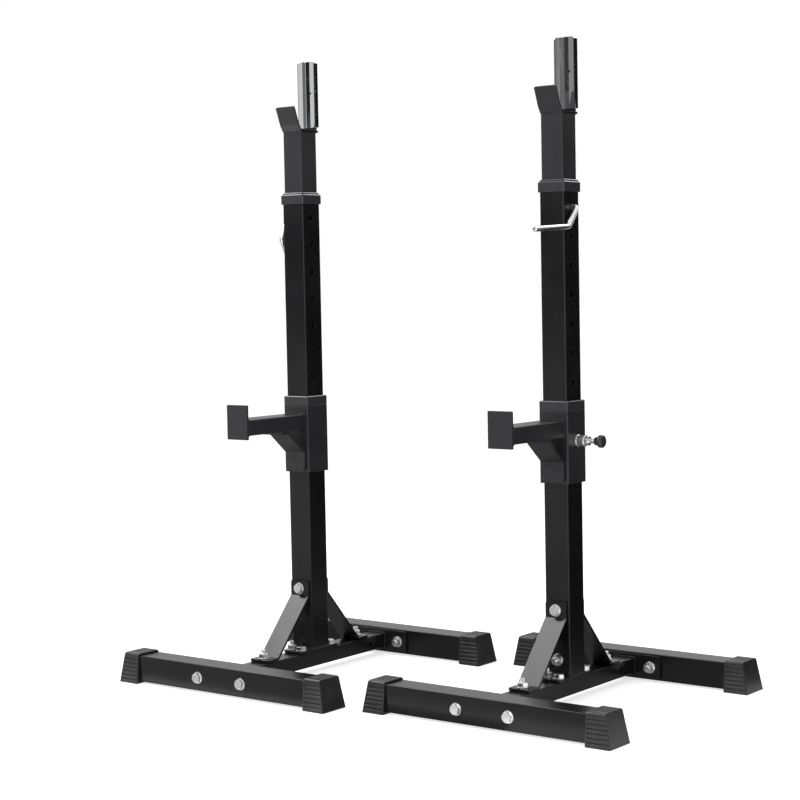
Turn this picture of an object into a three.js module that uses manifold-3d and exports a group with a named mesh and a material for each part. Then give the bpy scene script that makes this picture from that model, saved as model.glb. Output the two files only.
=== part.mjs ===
// A pair of free-standing squat stands of square steel tube, with telescoping posts and sliding arms.
// Millimetres, +Z up. The origin lies on the floor, midway between the stands; -Y is the lifter's side.
import * as THREE from "three";
import { mergeVertices } from "three/addons/utils/BufferGeometryUtils.js";
import Module from "manifold-3d";

const wasm = await Module();
wasm.setup();

// The pair
const standSpacing = 557.6;
const standStagger = 50.4;

// Clearances, overruns and facets
const fit = 0.3;
const slideFit = 1;
const glideFit = 0.5;
const overrun = 4;
const cornerFacets = 2;
const bendFacets = 4;
const roundSides = 12;
const holeSides = 10;
const boltHoleSides = 8;
const rodSides = 8;
const hexSides = 6;

// Square tube of the base and the upright
const tubeSide = 50;
const tubeWall = 1.5;
const tubeCorner = 2;

// Base frame
const crossReach = 240;
const crossTubeHalf = 239;
const soleThickness = 4;
const beamWidth = 40;
const beamDepth = 30;
const beamWall = 2;
const beamCorner = 2.5;
const flangeWidth = 148;
const flangeHeight = 44;
const flangeThickness = 5;
const flangeCorner = 6;
const crossBoltReach = 53.5;

// Rubber feet, each a boot over the end of a cross tube
const footGrip = 32;
const footEndWall = 5;
const footEndFlare = 11;
const footWall = 3;
const footTopWall = 4;
const footSideFlare = 5;
const footTopCorner = 5;
const footSideRibs = 7;
const footTopRibs = 5;
const footGrooveWidth = 3;
const footGrooveDepth = 2;

// Upright
const uprightTop = 931;
const footPlateThickness = 5;
const footPlateReach = 58;
const footPlateCorner = 10;
const footBoltReach = 43;
const pinHoleRadius = 6;
const pinHoleLowest = 472;
const pinHolePitch = 51.7;
const pinHoleCount = 9;

// Braces, flat bar bent at both ends
const braceWidth = 44;
const braceThickness = 5;
const braceUpperBoltHeight = 168.5;
const braceBoltInset = 100;
const braceBoltMargin = 15.5;
const braceBendMargin = 15;
const braceSlopeMargin = 18;
const braceCorner = 4.5;

// Fasteners
const boltRadius = 5;
const boltClearance = 0.4;
const boltHeadRadius = 9.8;
const boltHeadHeight = 6.5;
const washerRadius = 11;
const washerThickness = 1.6;
const nutHeight = 8;
const boltTail = 3;

// Collar at the top of the upright
const collarWall = 3;
const collarBandHeight = 18;
const collarRimOverhang = 0.5;
const collarRimHeight = 4;
const collarCorner = 3;

// Inner post and bar cradle
const postWall = 1.5;
const postCorner = 2;
const postTail = 81;
const postExposure = 124;
const cradleThickness = 4;
const lipKneeRun = 8;
const lipKneeRise = 9;
const lipTipRun = 20.5;
const lipTipRise = 42;
const lipCorner = 5;
const backPlateOverhang = 2.8;
const backPlateWidth = 38;

// Chromed guard over the back plate
const guardWidth = 45;
const guardDepth = 8.8;
const guardWall = 2.5;
const guardCrown = 1.2;
const guardLift = 6;
const guardHeight = 127;
const guardCorner = 3;

// Lock pin, a bent rod through the upright
const pinRadius = 5;
const pinTipDepth = 1.6;
const pinStandOff = 12;
const pinCrankLength = 45;
const pinHandleLength = 110;
const pinBendRadius = 9;
const pinHandleTurn = THREE.MathUtils.degToRad(47.5);
const pinSwivels = { left: THREE.MathUtils.degToRad(247), right: THREE.MathUtils.degToRad(230.4) };

// Sliding carriage
const sleeveWall = 3;
const sleeveCorner = 2.5;
const sleeveBelowPin = 76;
const sleeveAbovePin = 53;
const linerWall = 1.2;
const linerRimHeight = 18;
const linerCorner = 2;
const armWidth = 50;
const armDepth = 30;
const armWall = 2;
const armCorner = 2;
const armAbovePin = 22;
const armReach = 193.5;
const endPlateHeight = 65;
const endPlateThickness = 5;
const endPlateLift = 10;
const endPlateCorner = 1.5;
const strutWidth = 48;
const strutThickness = 5;
const strutArmReach = 80;
const strutArmTab = 22;
const strutKneeBelowPin = 35;
const strutTabLength = 38;
const strutCorner = 8;

// Pop pin of the carriage
const plungerRadius = 4.5;
const plungerClearance = 0.4;
const popBodyRadius = 11;
const popBodyLength = 26;
const popCollarRadius = 8.5;
const popCollarLength = 8;
const plungerShaftShown = 12.7;
const knobRadius = 11.5;
const knobWaist = 7.5;
const knobLength = 17;

// Sizes that several pieces share
const halfTube = tubeSide / 2;
const crossHeight = soleThickness + halfTube;
const beamTop = crossHeight + beamDepth / 2;
const crossInnerFace = crossReach - halfTube;
const flangeOuterFace = crossInnerFace - fit;
const flangeInnerFace = flangeOuterFace - flangeThickness;
const beamLid = beamTop - beamWall;
const footPlateBottom = beamTop + fit;
const uprightBottom = footPlateBottom + footPlateThickness;
const braceLowerBoltReach = crossReach - braceBoltInset;
const lockHoleHeight = pinHoleLowest + (pinHoleCount - 1) * pinHolePitch;
const postSide = tubeSide - 2 * tubeWall - 2 * slideFit;
const halfPost = postSide / 2;
const postBottom = pinHoleLowest - postTail;
const saddleHeight = uprightTop + postExposure;
const saddleBottom = saddleHeight - cradleThickness;
const backPlateFace = halfPost + backPlateOverhang;
const guardFront = backPlateFace - fit - guardWall;
const guardBottom = saddleHeight + guardLift;
const guardTop = guardBottom + guardHeight;
const carriageHeight = pinHoleLowest;
const linerBore = halfTube + glideFit;
const linerOuter = linerBore + linerWall;
const sleeveBore = linerOuter + fit;
const halfSleeve = sleeveBore + sleeveWall;
const sleeveFace = halfSleeve + fit;
const sleeveBottom = carriageHeight - sleeveBelowPin;
const sleeveTop = carriageHeight + sleeveAbovePin;
const armHeight = carriageHeight + armAbovePin;
const plungerHole = plungerRadius + plungerClearance;

// Directions of the part's own frame
const alongX = new THREE.Vector3(1, 0, 0);
const alongY = new THREE.Vector3(0, 1, 0);
const alongZ = new THREE.Vector3(0, 0, 1);
const downward = new THREE.Vector3(0, 0, -1);

// Materials
const finish = (color, metalness, roughness) => () =>
  new THREE.MeshStandardMaterial({ color, metalness, roughness, flatShading: true });
const blackCoat = finish(0x26262a, 0.1, 0.22);
const zinc = finish(0xc9ccce, 0.95, 0.28);
const chrome = finish(0xdcdde0, 1, 0.07);
const rubber = finish(0x3a3a3c, 0, 0.75);
const plastic = finish(0x3f3f42, 0, 0.5);

// Solids: closed meshes that can be joined and cut
function toSolid(geometry) {
  const bare = geometry.clone();
  bare.deleteAttribute("normal");
  bare.deleteAttribute("uv");
  const merged = mergeVertices(bare);
  return new wasm.Manifold(
    new wasm.Mesh({
      numProp: merged.attributes.position.itemSize,
      vertProperties: merged.attributes.position.array,
      triVerts: new Uint32Array(merged.index.array),
    }),
  );
}

function toGeometry(solid) {
  const mesh = solid.getMesh();
  const corners = new Float32Array(mesh.vertProperties);
  const geometry = new THREE.BufferGeometry();
  geometry.setAttribute("position", new THREE.BufferAttribute(corners, mesh.numProp));
  geometry.setIndex(new THREE.BufferAttribute(new Uint32Array(mesh.triVerts), 1));
  geometry.computeVertexNormals();
  return geometry;
}

// Two places on one side of the middle, in rising order
const rising = (side, near, far) => (side > 0 ? [near, far] : [-far, -near]);

const joined = (first, ...others) => others.reduce((all, solid) => all.add(solid), first);
const cut = (body, ...tools) => tools.reduce((left, tool) => left.subtract(tool), body);

// Outlines
function roundedBox(width, height, corner, midX = 0, midY = 0) {
  const x = width / 2 - corner;
  const y = height / 2 - corner;
  const quarter = Math.PI / 2;
  const outline = new THREE.Shape();
  outline.absarc(midX + x, midY + y, corner, 0, quarter);
  outline.absarc(midX - x, midY + y, corner, quarter, 2 * quarter);
  outline.absarc(midX - x, midY - y, corner, 2 * quarter, 3 * quarter);
  outline.absarc(midX + x, midY - y, corner, 3 * quarter, 4 * quarter);
  return outline;
}

// A box outline with its two upper corners rounded
function tabOutline(halfWidth, bottom, top, corner) {
  const outline = new THREE.Shape();
  outline.moveTo(-halfWidth, bottom);
  outline.lineTo(halfWidth, bottom);
  outline.absarc(halfWidth - corner, top - corner, corner, 0, Math.PI / 2);
  outline.absarc(corner - halfWidth, top - corner, corner, Math.PI / 2, Math.PI);
  return outline;
}

const circle = (radius, midX = 0, midY = 0) =>
  new THREE.Shape().absarc(midX, midY, radius, 0, 2 * Math.PI);
const polygon = (points) => new THREE.Shape(points.map(([x, y]) => new THREE.Vector2(x, y)));

// A strip of even thickness on the left of a chain of points
function stripOutline(points, thickness) {
  const chain = points.map(([x, y]) => new THREE.Vector2(x, y));
  const normals = chain.slice(1).map((point, i) => {
    const run = point.clone().sub(chain[i]).normalize();
    return new THREE.Vector2(-run.y, run.x);
  });
  const offset = chain.map((point, i) => {
    const before = normals[Math.max(i - 1, 0)];
    const after = normals[Math.min(i, normals.length - 1)];
    const mitre = before.clone().add(after).normalize();
    return point.clone().addScaledVector(mitre, thickness / mitre.dot(before));
  });
  return new THREE.Shape([...chain, ...offset.reverse()]);
}

// Extrusions along each axis: an X bar has its outline in (Y, Z), a Y bar in (X, Z), a Z bar in (X, Y)
// An arc gets twice as many facets as its curveSegments, so a quarter's facets are counted over it
function bar(axis, outline, from, to, facets = cornerFacets) {
  const geometry = new THREE.ExtrudeGeometry(outline, {
    depth: to - from,
    bevelEnabled: false,
    curveSegments: facets / 2,
  });
  const turn = new THREE.Matrix4();
  if (axis === "x") turn.makeBasis(alongY, alongZ, alongX).setPosition(from, 0, 0);
  if (axis === "y") turn.makeBasis(alongX, alongZ, alongY.clone().negate()).setPosition(0, to, 0);
  if (axis === "z") turn.setPosition(0, 0, from);
  return toSolid(geometry.applyMatrix4(turn));
}

const rod = (axis, radius, from, to, midX = 0, midY = 0, sides = holeSides) =>
  bar(axis, circle(radius, midX, midY), from, to, sides);

const boltHole = (axis, from, to, midX, midY) =>
  rod(axis, boltRadius + boltClearance, from, to, midX, midY, boltHoleSides);

function boxTube(axis, [width, height], corner, wall, [from, to], midY = 0) {
  const outer = bar(axis, roundedBox(width, height, corner, 0, midY), from, to);
  const innerCorner = Math.max(corner - wall, wall / 2);
  const inner = roundedBox(width - 2 * wall, height - 2 * wall, innerCorner, 0, midY);
  return cut(outer, bar(axis, inner, from - overrun, to + overrun));
}

// A turned solid about the Z axis from pairs of radius and height
function turned(profile, sides = roundSides) {
  const points = profile.map(([radius, height]) => new THREE.Vector2(radius, height));
  return toSolid(new THREE.LatheGeometry(points, sides).rotateX(Math.PI / 2));
}

// A bolt with its washers and nut about the Z axis: its head lies above zero, its nut below the grip
function boltSolid(grip) {
  const washerTop = washerThickness;
  const nutTop = -grip - washerThickness;
  const tail = nutTop - nutHeight - boltTail;
  return joined(
    rod("z", boltRadius, tail, washerTop + boltHeadHeight / 2, 0, 0, rodSides),
    rod("z", washerRadius, fit, fit + washerTop, 0, 0, roundSides),
    rod("z", boltHeadRadius, washerTop, washerTop + boltHeadHeight, 0, 0, hexSides),
    rod("z", washerRadius, -grip - washerTop - fit, -grip - fit, 0, 0, roundSides),
    rod("z", boltHeadRadius, nutTop - nutHeight, nutTop, 0, 0, hexSides),
  );
}

// A rod's centre line: straight legs with a round bend at each corner, sampled where it turns
class BentRod extends THREE.Curve {
  constructor(corners, radius, steps) {
    super();
    this.stations = [corners[0]];
    for (let i = 1; i < corners.length - 1; i++) {
      const into = corners[i - 1].clone().sub(corners[i]).normalize();
      const out = corners[i + 1].clone().sub(corners[i]).normalize();
      const half = into.angleTo(out) / 2;
      const middle = into.clone().add(out).normalize();
      const centre = corners[i].clone().addScaledVector(middle, radius / Math.sin(half));
      const start = corners[i].clone().addScaledVector(into, radius / Math.tan(half)).sub(centre);
      const axis = new THREE.Vector3().crossVectors(out, into).normalize();
      const sweep = Math.PI - 2 * half;
      for (let j = 0; j <= steps; j++) {
        const spoke = start.clone().applyAxisAngle(axis, (sweep * j) / steps);
        this.stations.push(centre.clone().add(spoke));
      }
    }
    this.stations.push(corners[corners.length - 1]);
  }

  get runs() {
    return this.stations.length - 1;
  }

  getPointAt(share) {
    return this.stations[Math.round(share * this.runs)].clone();
  }

  getTangentAt(share) {
    const i = Math.round(share * this.runs);
    const before = this.stations[Math.max(i - 1, 0)];
    const after = this.stations[Math.min(i + 1, this.runs)];
    return after.clone().sub(before).normalize();
  }
}

// The base frame
function makeCrossTube(front) {
  const span = [-crossTubeHalf, crossTubeHalf];
  const tube = boxTube("x", [tubeSide, tubeSide], tubeCorner, tubeWall, span, crossHeight);
  const holes = [-crossBoltReach, crossBoltReach].map((reach) =>
    boltHole("y", -tubeSide, tubeSide, reach, crossHeight),
  );
  return cut(tube, ...holes).translate([0, front * crossReach, 0]);
}

// An edge of the boot's section with ribs along it: grooves are sunk on its left
function ribbedEdge([fromX, fromY], [toX, toY], ribs) {
  const from = new THREE.Vector2(fromX, fromY);
  const run = new THREE.Vector2(toX, toY).sub(from);
  const sink = new THREE.Vector2(-run.y, run.x).setLength(footGrooveDepth);
  const half = footGrooveWidth / run.length() / 2;
  const points = [from];
  for (let groove = 1; groove < ribs; groove++) {
    const start = from.clone().addScaledVector(run, groove / ribs - half);
    const end = from.clone().addScaledVector(run, groove / ribs + half);
    points.push(start, start.clone().add(sink), end.clone().add(sink), end);
  }
  return points.map((point) => point.toArray());
}

// A rubber boot over the end of a cross tube, flared to the floor, with ribs along its sides and top
function makeFoot(front, outward) {
  const height = crossHeight + halfTube + footTopWall;
  const topHalf = halfTube + footWall;
  const bottomHalf = topHalf + footSideFlare;
  const shoulder = height - footTopCorner;
  const ridge = topHalf - footTopCorner;
  const innerEnd = crossTubeHalf - footGrip;
  const topEnd = crossTubeHalf + footEndWall;
  const bottomEnd = topEnd + footEndFlare;
  const section = polygon([
    ...ribbedEdge([bottomHalf, 0], [topHalf, shoulder], footSideRibs),
    [topHalf, shoulder],
    ...ribbedEdge([ridge, height], [-ridge, height], footTopRibs),
    [-ridge, height],
    ...ribbedEdge([-topHalf, shoulder], [-bottomHalf, 0], footSideRibs),
    [-bottomHalf, 0],
  ]);
  const side = polygon([
    [innerEnd, 0],
    [bottomEnd, 0],
    [topEnd, height],
    [innerEnd, height],
  ]);
  const pocketSide = tubeSide + 2 * fit;
  const pocket = roundedBox(pocketSide, pocketSide, tubeCorner, 0, crossHeight);
  const boot = cut(
    bar("x", section, innerEnd, bottomEnd).intersect(bar("y", side, -bottomHalf, bottomHalf)),
    bar("x", pocket, innerEnd - overrun, crossTubeHalf + fit),
  );
  const placed = outward > 0 ? boot : boot.rotate([0, 0, 180]);
  return placed.translate([0, front * crossReach, 0]);
}

// The beam between the cross tubes, with a bolting flange welded on each end
function makeBaseBeam() {
  const outside = roundedBox(beamWidth, beamDepth, beamCorner, 0, crossHeight);
  let beam = bar("y", outside, -flangeInnerFace, flangeInnerFace);
  for (const end of [-1, 1]) {
    const plate = roundedBox(flangeWidth, flangeHeight, flangeCorner, 0, crossHeight);
    beam = beam.add(bar("y", plate, ...rising(end, flangeInnerFace, flangeOuterFace)));
  }
  const [boreWidth, boreDepth] = [beamWidth - 2 * beamWall, beamDepth - 2 * beamWall];
  const bore = roundedBox(boreWidth, boreDepth, beamCorner - beamWall, 0, crossHeight);
  beam = beam.subtract(bar("y", bore, -crossInnerFace, crossInnerFace));
  for (const reach of [-crossBoltReach, crossBoltReach]) {
    const hole = boltHole("y", -flangeOuterFace - overrun, flangeOuterFace + overrun, reach, crossHeight);
    beam = beam.subtract(hole);
  }
  for (const reach of [-braceLowerBoltReach, -footBoltReach, footBoltReach, braceLowerBoltReach]) {
    beam = beam.subtract(boltHole("z", crossHeight, beamTop + overrun, 0, reach));
  }
  return beam;
}

// The upright with its welded foot plate, its row of adjusting holes and the holes of its fasteners
function makeUpright() {
  const tube = boxTube("z", [tubeSide, tubeSide], tubeCorner, tubeWall, [uprightBottom, uprightTop]);
  const plateOutline = roundedBox(tubeSide, 2 * footPlateReach, footPlateCorner);
  const foot = bar("z", plateOutline, footPlateBottom, uprightBottom);
  const holes = [-footBoltReach, footBoltReach].map((reach) =>
    boltHole("z", footPlateBottom - overrun, uprightBottom + overrun, 0, reach),
  );
  for (let i = 0; i < pinHoleCount; i++) {
    holes.push(rod("x", pinHoleRadius, -tubeSide, tubeSide, 0, pinHoleLowest + i * pinHolePitch));
  }
  holes.push(boltHole("y", -tubeSide, tubeSide, 0, braceUpperBoltHeight));
  return cut(joined(tube, foot), ...holes);
}

// A bent flat bar from the upright's face down to the top of the beam
function makeBrace(front) {
  const face = halfTube + fit;
  const seat = beamTop + fit;
  const tabTop = braceUpperBoltHeight + braceBoltMargin;
  const tabEnd = braceLowerBoltReach + braceBendMargin;
  const chain = [
    [-tabEnd, seat],
    [braceSlopeMargin - braceLowerBoltReach, seat],
    [-face, braceUpperBoltHeight - braceBendMargin],
    [-face, tabTop],
  ];
  const strip = bar("x", stripOutline(chain, braceThickness), -braceWidth / 2, braceWidth / 2);
  const upper = bar("y", tabOutline(braceWidth / 2, 0, tabTop, braceCorner), -tabEnd - overrun, 0);
  const lower = bar("z", tabOutline(braceWidth / 2, 0, tabEnd, braceCorner), 0, tabTop + overrun);
  const drilled = cut(
    strip.intersect(upper).intersect(lower.rotate([0, 0, 180])),
    boltHole("y", -tabEnd, 0, 0, braceUpperBoltHeight),
    boltHole("z", 0, seat + tubeSide, 0, -braceLowerBoltReach),
  );
  return front < 0 ? drilled : drilled.rotate([0, 0, 180]);
}

// The plastic collar that guides the inner post at the mouth of the upright
function makeCollar() {
  const bandBottom = uprightTop - collarBandHeight;
  const rimBottom = uprightTop + fit;
  const bandSide = tubeSide + 2 * collarWall;
  const rimSide = tubeSide + 2 * collarRimOverhang;
  const band = bar("z", roundedBox(bandSide, bandSide, collarCorner), bandBottom, rimBottom + fit);
  const rim = bar("z", roundedBox(rimSide, rimSide, collarCorner), rimBottom, rimBottom + collarRimHeight);
  const socketSide = tubeSide + 2 * fit;
  const throatSide = postSide + 2 * glideFit;
  const socket = roundedBox(socketSide, socketSide, tubeCorner);
  const throat = roundedBox(throatSide, throatSide, postCorner);
  return cut(
    joined(band, rim),
    bar("z", socket, bandBottom - overrun, rimBottom),
    bar("z", throat, bandBottom, rimBottom + collarRimHeight + overrun),
  );
}

// The inner post with the bar cradle welded on its top: a bent plate that makes lip, saddle and back
function makeInnerPost() {
  const tubeTop = saddleBottom + cradleThickness / 2;
  const tube = boxTube("z", [postSide, postSide], postCorner, postWall, [postBottom, tubeTop]);
  const backRear = backPlateFace + cradleThickness;
  const lipTop = saddleHeight + lipTipRise;
  const lip = stripOutline(
    [
      [backRear, saddleBottom],
      [-halfPost, saddleBottom],
      [-halfPost - lipKneeRun, saddleHeight + lipKneeRise],
      [-halfPost - lipTipRun, lipTop],
    ],
    -cradleThickness,
  );
  const lipPlate = bar("x", lip, -halfPost, halfPost);
  const lipFace = tabOutline(halfPost, saddleBottom - overrun, lipTop, lipCorner);
  const backTop = guardTop - guardWall - 2 * fit;
  const back = polygon([
    [-backPlateWidth / 2, saddleBottom],
    [backPlateWidth / 2, saddleBottom],
    [backPlateWidth / 2, backTop],
    [-backPlateWidth / 2, backTop],
  ]);
  const backPlate = bar("y", back, backPlateFace, backRear);
  const holes = [];
  for (let height = lockHoleHeight; height > postBottom + pinHolePitch / 2; height -= pinHolePitch) {
    holes.push(rod("x", pinHoleRadius, -tubeSide, tubeSide, 0, height));
  }
  const trimmedLip = lipPlate.intersect(bar("y", lipFace, -postSide, backRear));
  return cut(joined(tube, trimmedLip, backPlate), ...holes);
}

// The chromed channel that caps the cradle's back plate, with a crowned front
function makeGuard() {
  const half = guardWidth / 2;
  const guardRear = guardFront + guardDepth;
  const crown = new THREE.Shape();
  crown.moveTo(half, guardRear);
  crown.absarc(half - guardCorner, guardFront + guardCorner, guardCorner, 0, -Math.PI / 2, true);
  crown.quadraticCurveTo(0, guardFront - 2 * guardCrown, guardCorner - half, guardFront);
  crown.absarc(guardCorner - half, guardFront + guardCorner, guardCorner, -Math.PI / 2, -Math.PI, true);
  crown.lineTo(-half, guardRear);
  const face = tabOutline(half, guardBottom, guardTop, guardCorner);
  const shell = bar("z", crown, guardBottom, guardTop, bendFacets).intersect(
    bar("y", face, guardFront - guardWall, guardRear + guardWall),
  );
  const slotHalf = backPlateWidth / 2 + fit;
  const slot = polygon([
    [-slotHalf, backPlateFace - fit],
    [slotHalf, backPlateFace - fit],
    [slotHalf, guardRear + overrun],
    [-slotHalf, guardRear + overrun],
  ]);
  return cut(shell, bar("z", slot, guardBottom - overrun, guardTop - guardWall));
}

// The bent lock pin: a leg into the hole, a crank down and a handle
function makeLockPin(side, swivel) {
  const crank = new THREE.Vector3(0, Math.cos(swivel), Math.sin(swivel)).multiplyScalar(pinCrankLength);
  const turn = swivel - side * pinHandleTurn;
  const handle = new THREE.Vector3(0, Math.cos(turn), Math.sin(turn)).multiplyScalar(pinHandleLength);
  const tip = new THREE.Vector3(side * (halfTube - pinTipDepth), 0, lockHoleHeight);
  const knee = new THREE.Vector3(side * (halfTube + pinStandOff), 0, lockHoleHeight);
  const elbow = knee.clone().add(crank);
  const path = new BentRod([tip, knee, elbow, elbow.clone().add(handle)], pinBendRadius, bendFacets);
  return new THREE.ExtrudeGeometry(circle(pinRadius), {
    steps: path.runs,
    extrudePath: path,
    curveSegments: rodSides / 2,
    bevelEnabled: false,
  });
}

// The carriage: a sleeve round the upright with its plastic liner
function makeSleeve(side) {
  const width = 2 * halfSleeve;
  const sleeve = boxTube("z", [width, width], sleeveCorner, sleeveWall, [sleeveBottom, sleeveTop]);
  return cut(sleeve, rod("x", plungerHole, ...rising(side, halfTube, width), 0, carriageHeight));
}

function makeLiner(side) {
  const top = sleeveTop + fit + linerRimHeight;
  const skirt = roundedBox(2 * linerOuter, 2 * linerOuter, linerCorner);
  const rim = roundedBox(2 * halfSleeve, 2 * halfSleeve, sleeveCorner);
  const bore = roundedBox(2 * linerBore, 2 * linerBore, linerCorner);
  const liner = joined(
    bar("z", skirt, sleeveBottom, sleeveTop + 2 * fit),
    bar("z", rim, sleeveTop + fit, top),
  );
  const holeSpan = rising(side, halfTube - overrun, halfSleeve);
  return cut(
    liner,
    bar("z", bore, sleeveBottom - overrun, top + overrun),
    rod("x", plungerHole, ...holeSpan, 0, carriageHeight),
  );
}

function makeArm() {
  return boxTube("y", [armWidth, armDepth], armCorner, armWall, [-armReach, -sleeveFace], armHeight);
}

function makeEndPlate() {
  const plate = roundedBox(armWidth, endPlateHeight, endPlateCorner, 0, armHeight + endPlateLift);
  const near = -armReach - fit;
  return bar("y", plate, near - endPlateThickness, near);
}

// The bent strut under the arm
function makeStrut() {
  const underArm = armHeight - armDepth / 2 - fit;
  const knee = carriageHeight - strutKneeBelowPin;
  const tabBottom = knee - strutTabLength;
  const chain = [
    [-strutArmReach - strutArmTab, underArm],
    [-strutArmReach, underArm],
    [-sleeveFace, knee],
    [-sleeveFace, tabBottom],
  ];
  const strip = bar("x", stripOutline(chain, -strutThickness), -strutWidth / 2, strutWidth / 2);
  const mask = tabOutline(strutWidth / 2, -underArm - overrun, -tabBottom, strutCorner);
  const flipped = bar("y", mask, -2 * strutArmReach, 0).rotate([0, 180, 0]);
  return strip.intersect(flipped);
}

// The pop pin: a threaded housing on the sleeve and a sprung plunger with its knob
function makePopBody(side) {
  const end = sleeveFace + popBodyLength;
  const body = turned([
    [plungerHole, sleeveFace],
    [popBodyRadius, sleeveFace],
    [popBodyRadius, end - popCollarLength],
    [popCollarRadius, end - popCollarLength],
    [popCollarRadius, end],
    [plungerHole, end],
    [plungerHole, sleeveFace],
  ]);
  return body.rotate([0, side * 90, 0]).translate([0, 0, carriageHeight]);
}

function makePlunger(side) {
  const tip = halfTube + fit;
  const knobStart = sleeveFace + popBodyLength + plungerShaftShown;
  const knobEnd = knobStart + knobLength;
  const chamfer = plungerRadius / 3;
  const rounding = knobLength / 6;
  const plunger = turned([
    [0, tip],
    [plungerRadius - chamfer, tip],
    [plungerRadius, tip + chamfer],
    [plungerRadius, knobStart],
    [knobWaist, knobStart],
    [knobWaist, knobStart + 2 * rounding],
    [knobRadius, knobStart + 3 * rounding],
    [knobRadius, knobEnd - rounding],
    [knobRadius - rounding, knobEnd],
    [0, knobEnd],
  ]);
  return plunger.rotate([0, side * 90, 0]).translate([0, 0, carriageHeight]);
}

// Meshes and groups
function piece(group, name, geometry, material) {
  const mesh = new THREE.Mesh(geometry, material());
  mesh.name = name;
  group.add(mesh);
  return mesh;
}

const solidPiece = (group, name, solid, material) => piece(group, name, toGeometry(solid), material);

// A bolt whose head faces the given direction, with its head's washer on the given point
function boltPiece(group, name, grip, headFace, point) {
  const mesh = solidPiece(group, name, boltSolid(grip), zinc);
  mesh.quaternion.setFromUnitVectors(alongZ, headFace);
  mesh.position.copy(point);
}

const ends = { front: -1, rear: 1 };

function makeStand(name, side) {
  const stand = new THREE.Group();

  for (const [end, front] of Object.entries(ends)) {
    solidPiece(stand, `${name}_${end}_cross_tube`, makeCrossTube(front), blackCoat);
    for (const [place, outward] of [["outer", side], ["inner", -side]]) {
      solidPiece(stand, `${name}_${end}_${place}_foot`, makeFoot(front, outward), rubber);
      const grip = tubeSide + flangeThickness + fit;
      const crossFace = front * (crossReach + halfTube);
      const point = new THREE.Vector3(outward * crossBoltReach, crossFace, crossHeight);
      const headFace = alongY.clone().multiplyScalar(front);
      boltPiece(stand, `${name}_${end}_${place}_cross_bolt`, grip, headFace, point);
    }
    solidPiece(stand, `${name}_${end}_brace`, makeBrace(front), blackCoat);
    const braceGrip = beamTop + fit + braceThickness - beamLid;
    const bracePoint = new THREE.Vector3(0, front * braceLowerBoltReach, beamLid);
    boltPiece(stand, `${name}_${end}_brace_bolt`, braceGrip, downward, bracePoint);
    const footPoint = new THREE.Vector3(0, front * footBoltReach, beamLid);
    boltPiece(stand, `${name}_${end}_foot_bolt`, uprightBottom - beamLid, downward, footPoint);
  }
  const braceFace = halfTube + fit + braceThickness;
  const throughPoint = new THREE.Vector3(0, -braceFace, braceUpperBoltHeight);
  boltPiece(stand, `${name}_brace_through_bolt`, 2 * braceFace, alongY.clone().negate(), throughPoint);
  solidPiece(stand, `${name}_base_beam`, makeBaseBeam(), blackCoat);
  solidPiece(stand, `${name}_upright`, makeUpright(), blackCoat);
  solidPiece(stand, `${name}_upper_collar`, makeCollar(), plastic);

  solidPiece(stand, `${name}_inner_post`, makeInnerPost(), blackCoat);
  solidPiece(stand, `${name}_back_guard`, makeGuard(), chrome);
  piece(stand, `${name}_lock_pin`, makeLockPin(side, pinSwivels[name]), zinc);

  solidPiece(stand, `${name}_sleeve`, makeSleeve(side), blackCoat);
  solidPiece(stand, `${name}_sleeve_liner`, makeLiner(side), plastic);
  solidPiece(stand, `${name}_spotter_arm`, makeArm(), blackCoat);
  solidPiece(stand, `${name}_end_plate`, makeEndPlate(), blackCoat);
  solidPiece(stand, `${name}_strut`, makeStrut(), blackCoat);
  solidPiece(stand, `${name}_pop_pin_body`, makePopBody(side), zinc);
  solidPiece(stand, `${name}_pop_pin_plunger`, makePlunger(side), plastic);

  stand.position.set((side * standSpacing) / 2, (side * standStagger) / 2, 0);
  return stand;
}

const pair = new THREE.Group();
for (const [name, side] of [["left", -1], ["right", 1]]) {
  pair.add(makeStand(name, side));
}

export default pair;
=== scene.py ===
"""Looks of a pair of free-standing squat stands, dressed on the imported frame. Lengths are in metres."""
import math

import bmesh
import bpy
from mathutils import Matrix, Quaternion, Vector


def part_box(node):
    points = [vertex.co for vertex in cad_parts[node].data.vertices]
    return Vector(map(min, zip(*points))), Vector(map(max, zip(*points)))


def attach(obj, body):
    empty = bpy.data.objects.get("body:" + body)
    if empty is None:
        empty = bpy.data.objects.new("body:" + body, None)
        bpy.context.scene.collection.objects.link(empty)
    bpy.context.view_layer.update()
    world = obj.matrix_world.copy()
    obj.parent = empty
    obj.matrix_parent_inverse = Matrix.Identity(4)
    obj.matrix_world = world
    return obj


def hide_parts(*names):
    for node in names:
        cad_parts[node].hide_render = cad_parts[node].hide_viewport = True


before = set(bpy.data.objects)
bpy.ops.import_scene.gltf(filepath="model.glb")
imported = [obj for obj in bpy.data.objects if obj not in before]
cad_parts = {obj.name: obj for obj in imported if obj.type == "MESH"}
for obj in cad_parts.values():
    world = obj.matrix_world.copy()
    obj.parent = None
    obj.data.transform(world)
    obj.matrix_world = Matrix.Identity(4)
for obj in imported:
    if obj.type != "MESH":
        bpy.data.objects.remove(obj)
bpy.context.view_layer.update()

MM = 0.001
FIT = 0.3 * MM
SIDES = {"left": -1, "right": 1}
ENDS = {"front": -1, "rear": 1}
X_AXIS, Y_AXIS, Z_AXIS = Vector((1, 0, 0)), Vector((0, 1, 0)), Vector((0, 0, 1))

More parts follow.
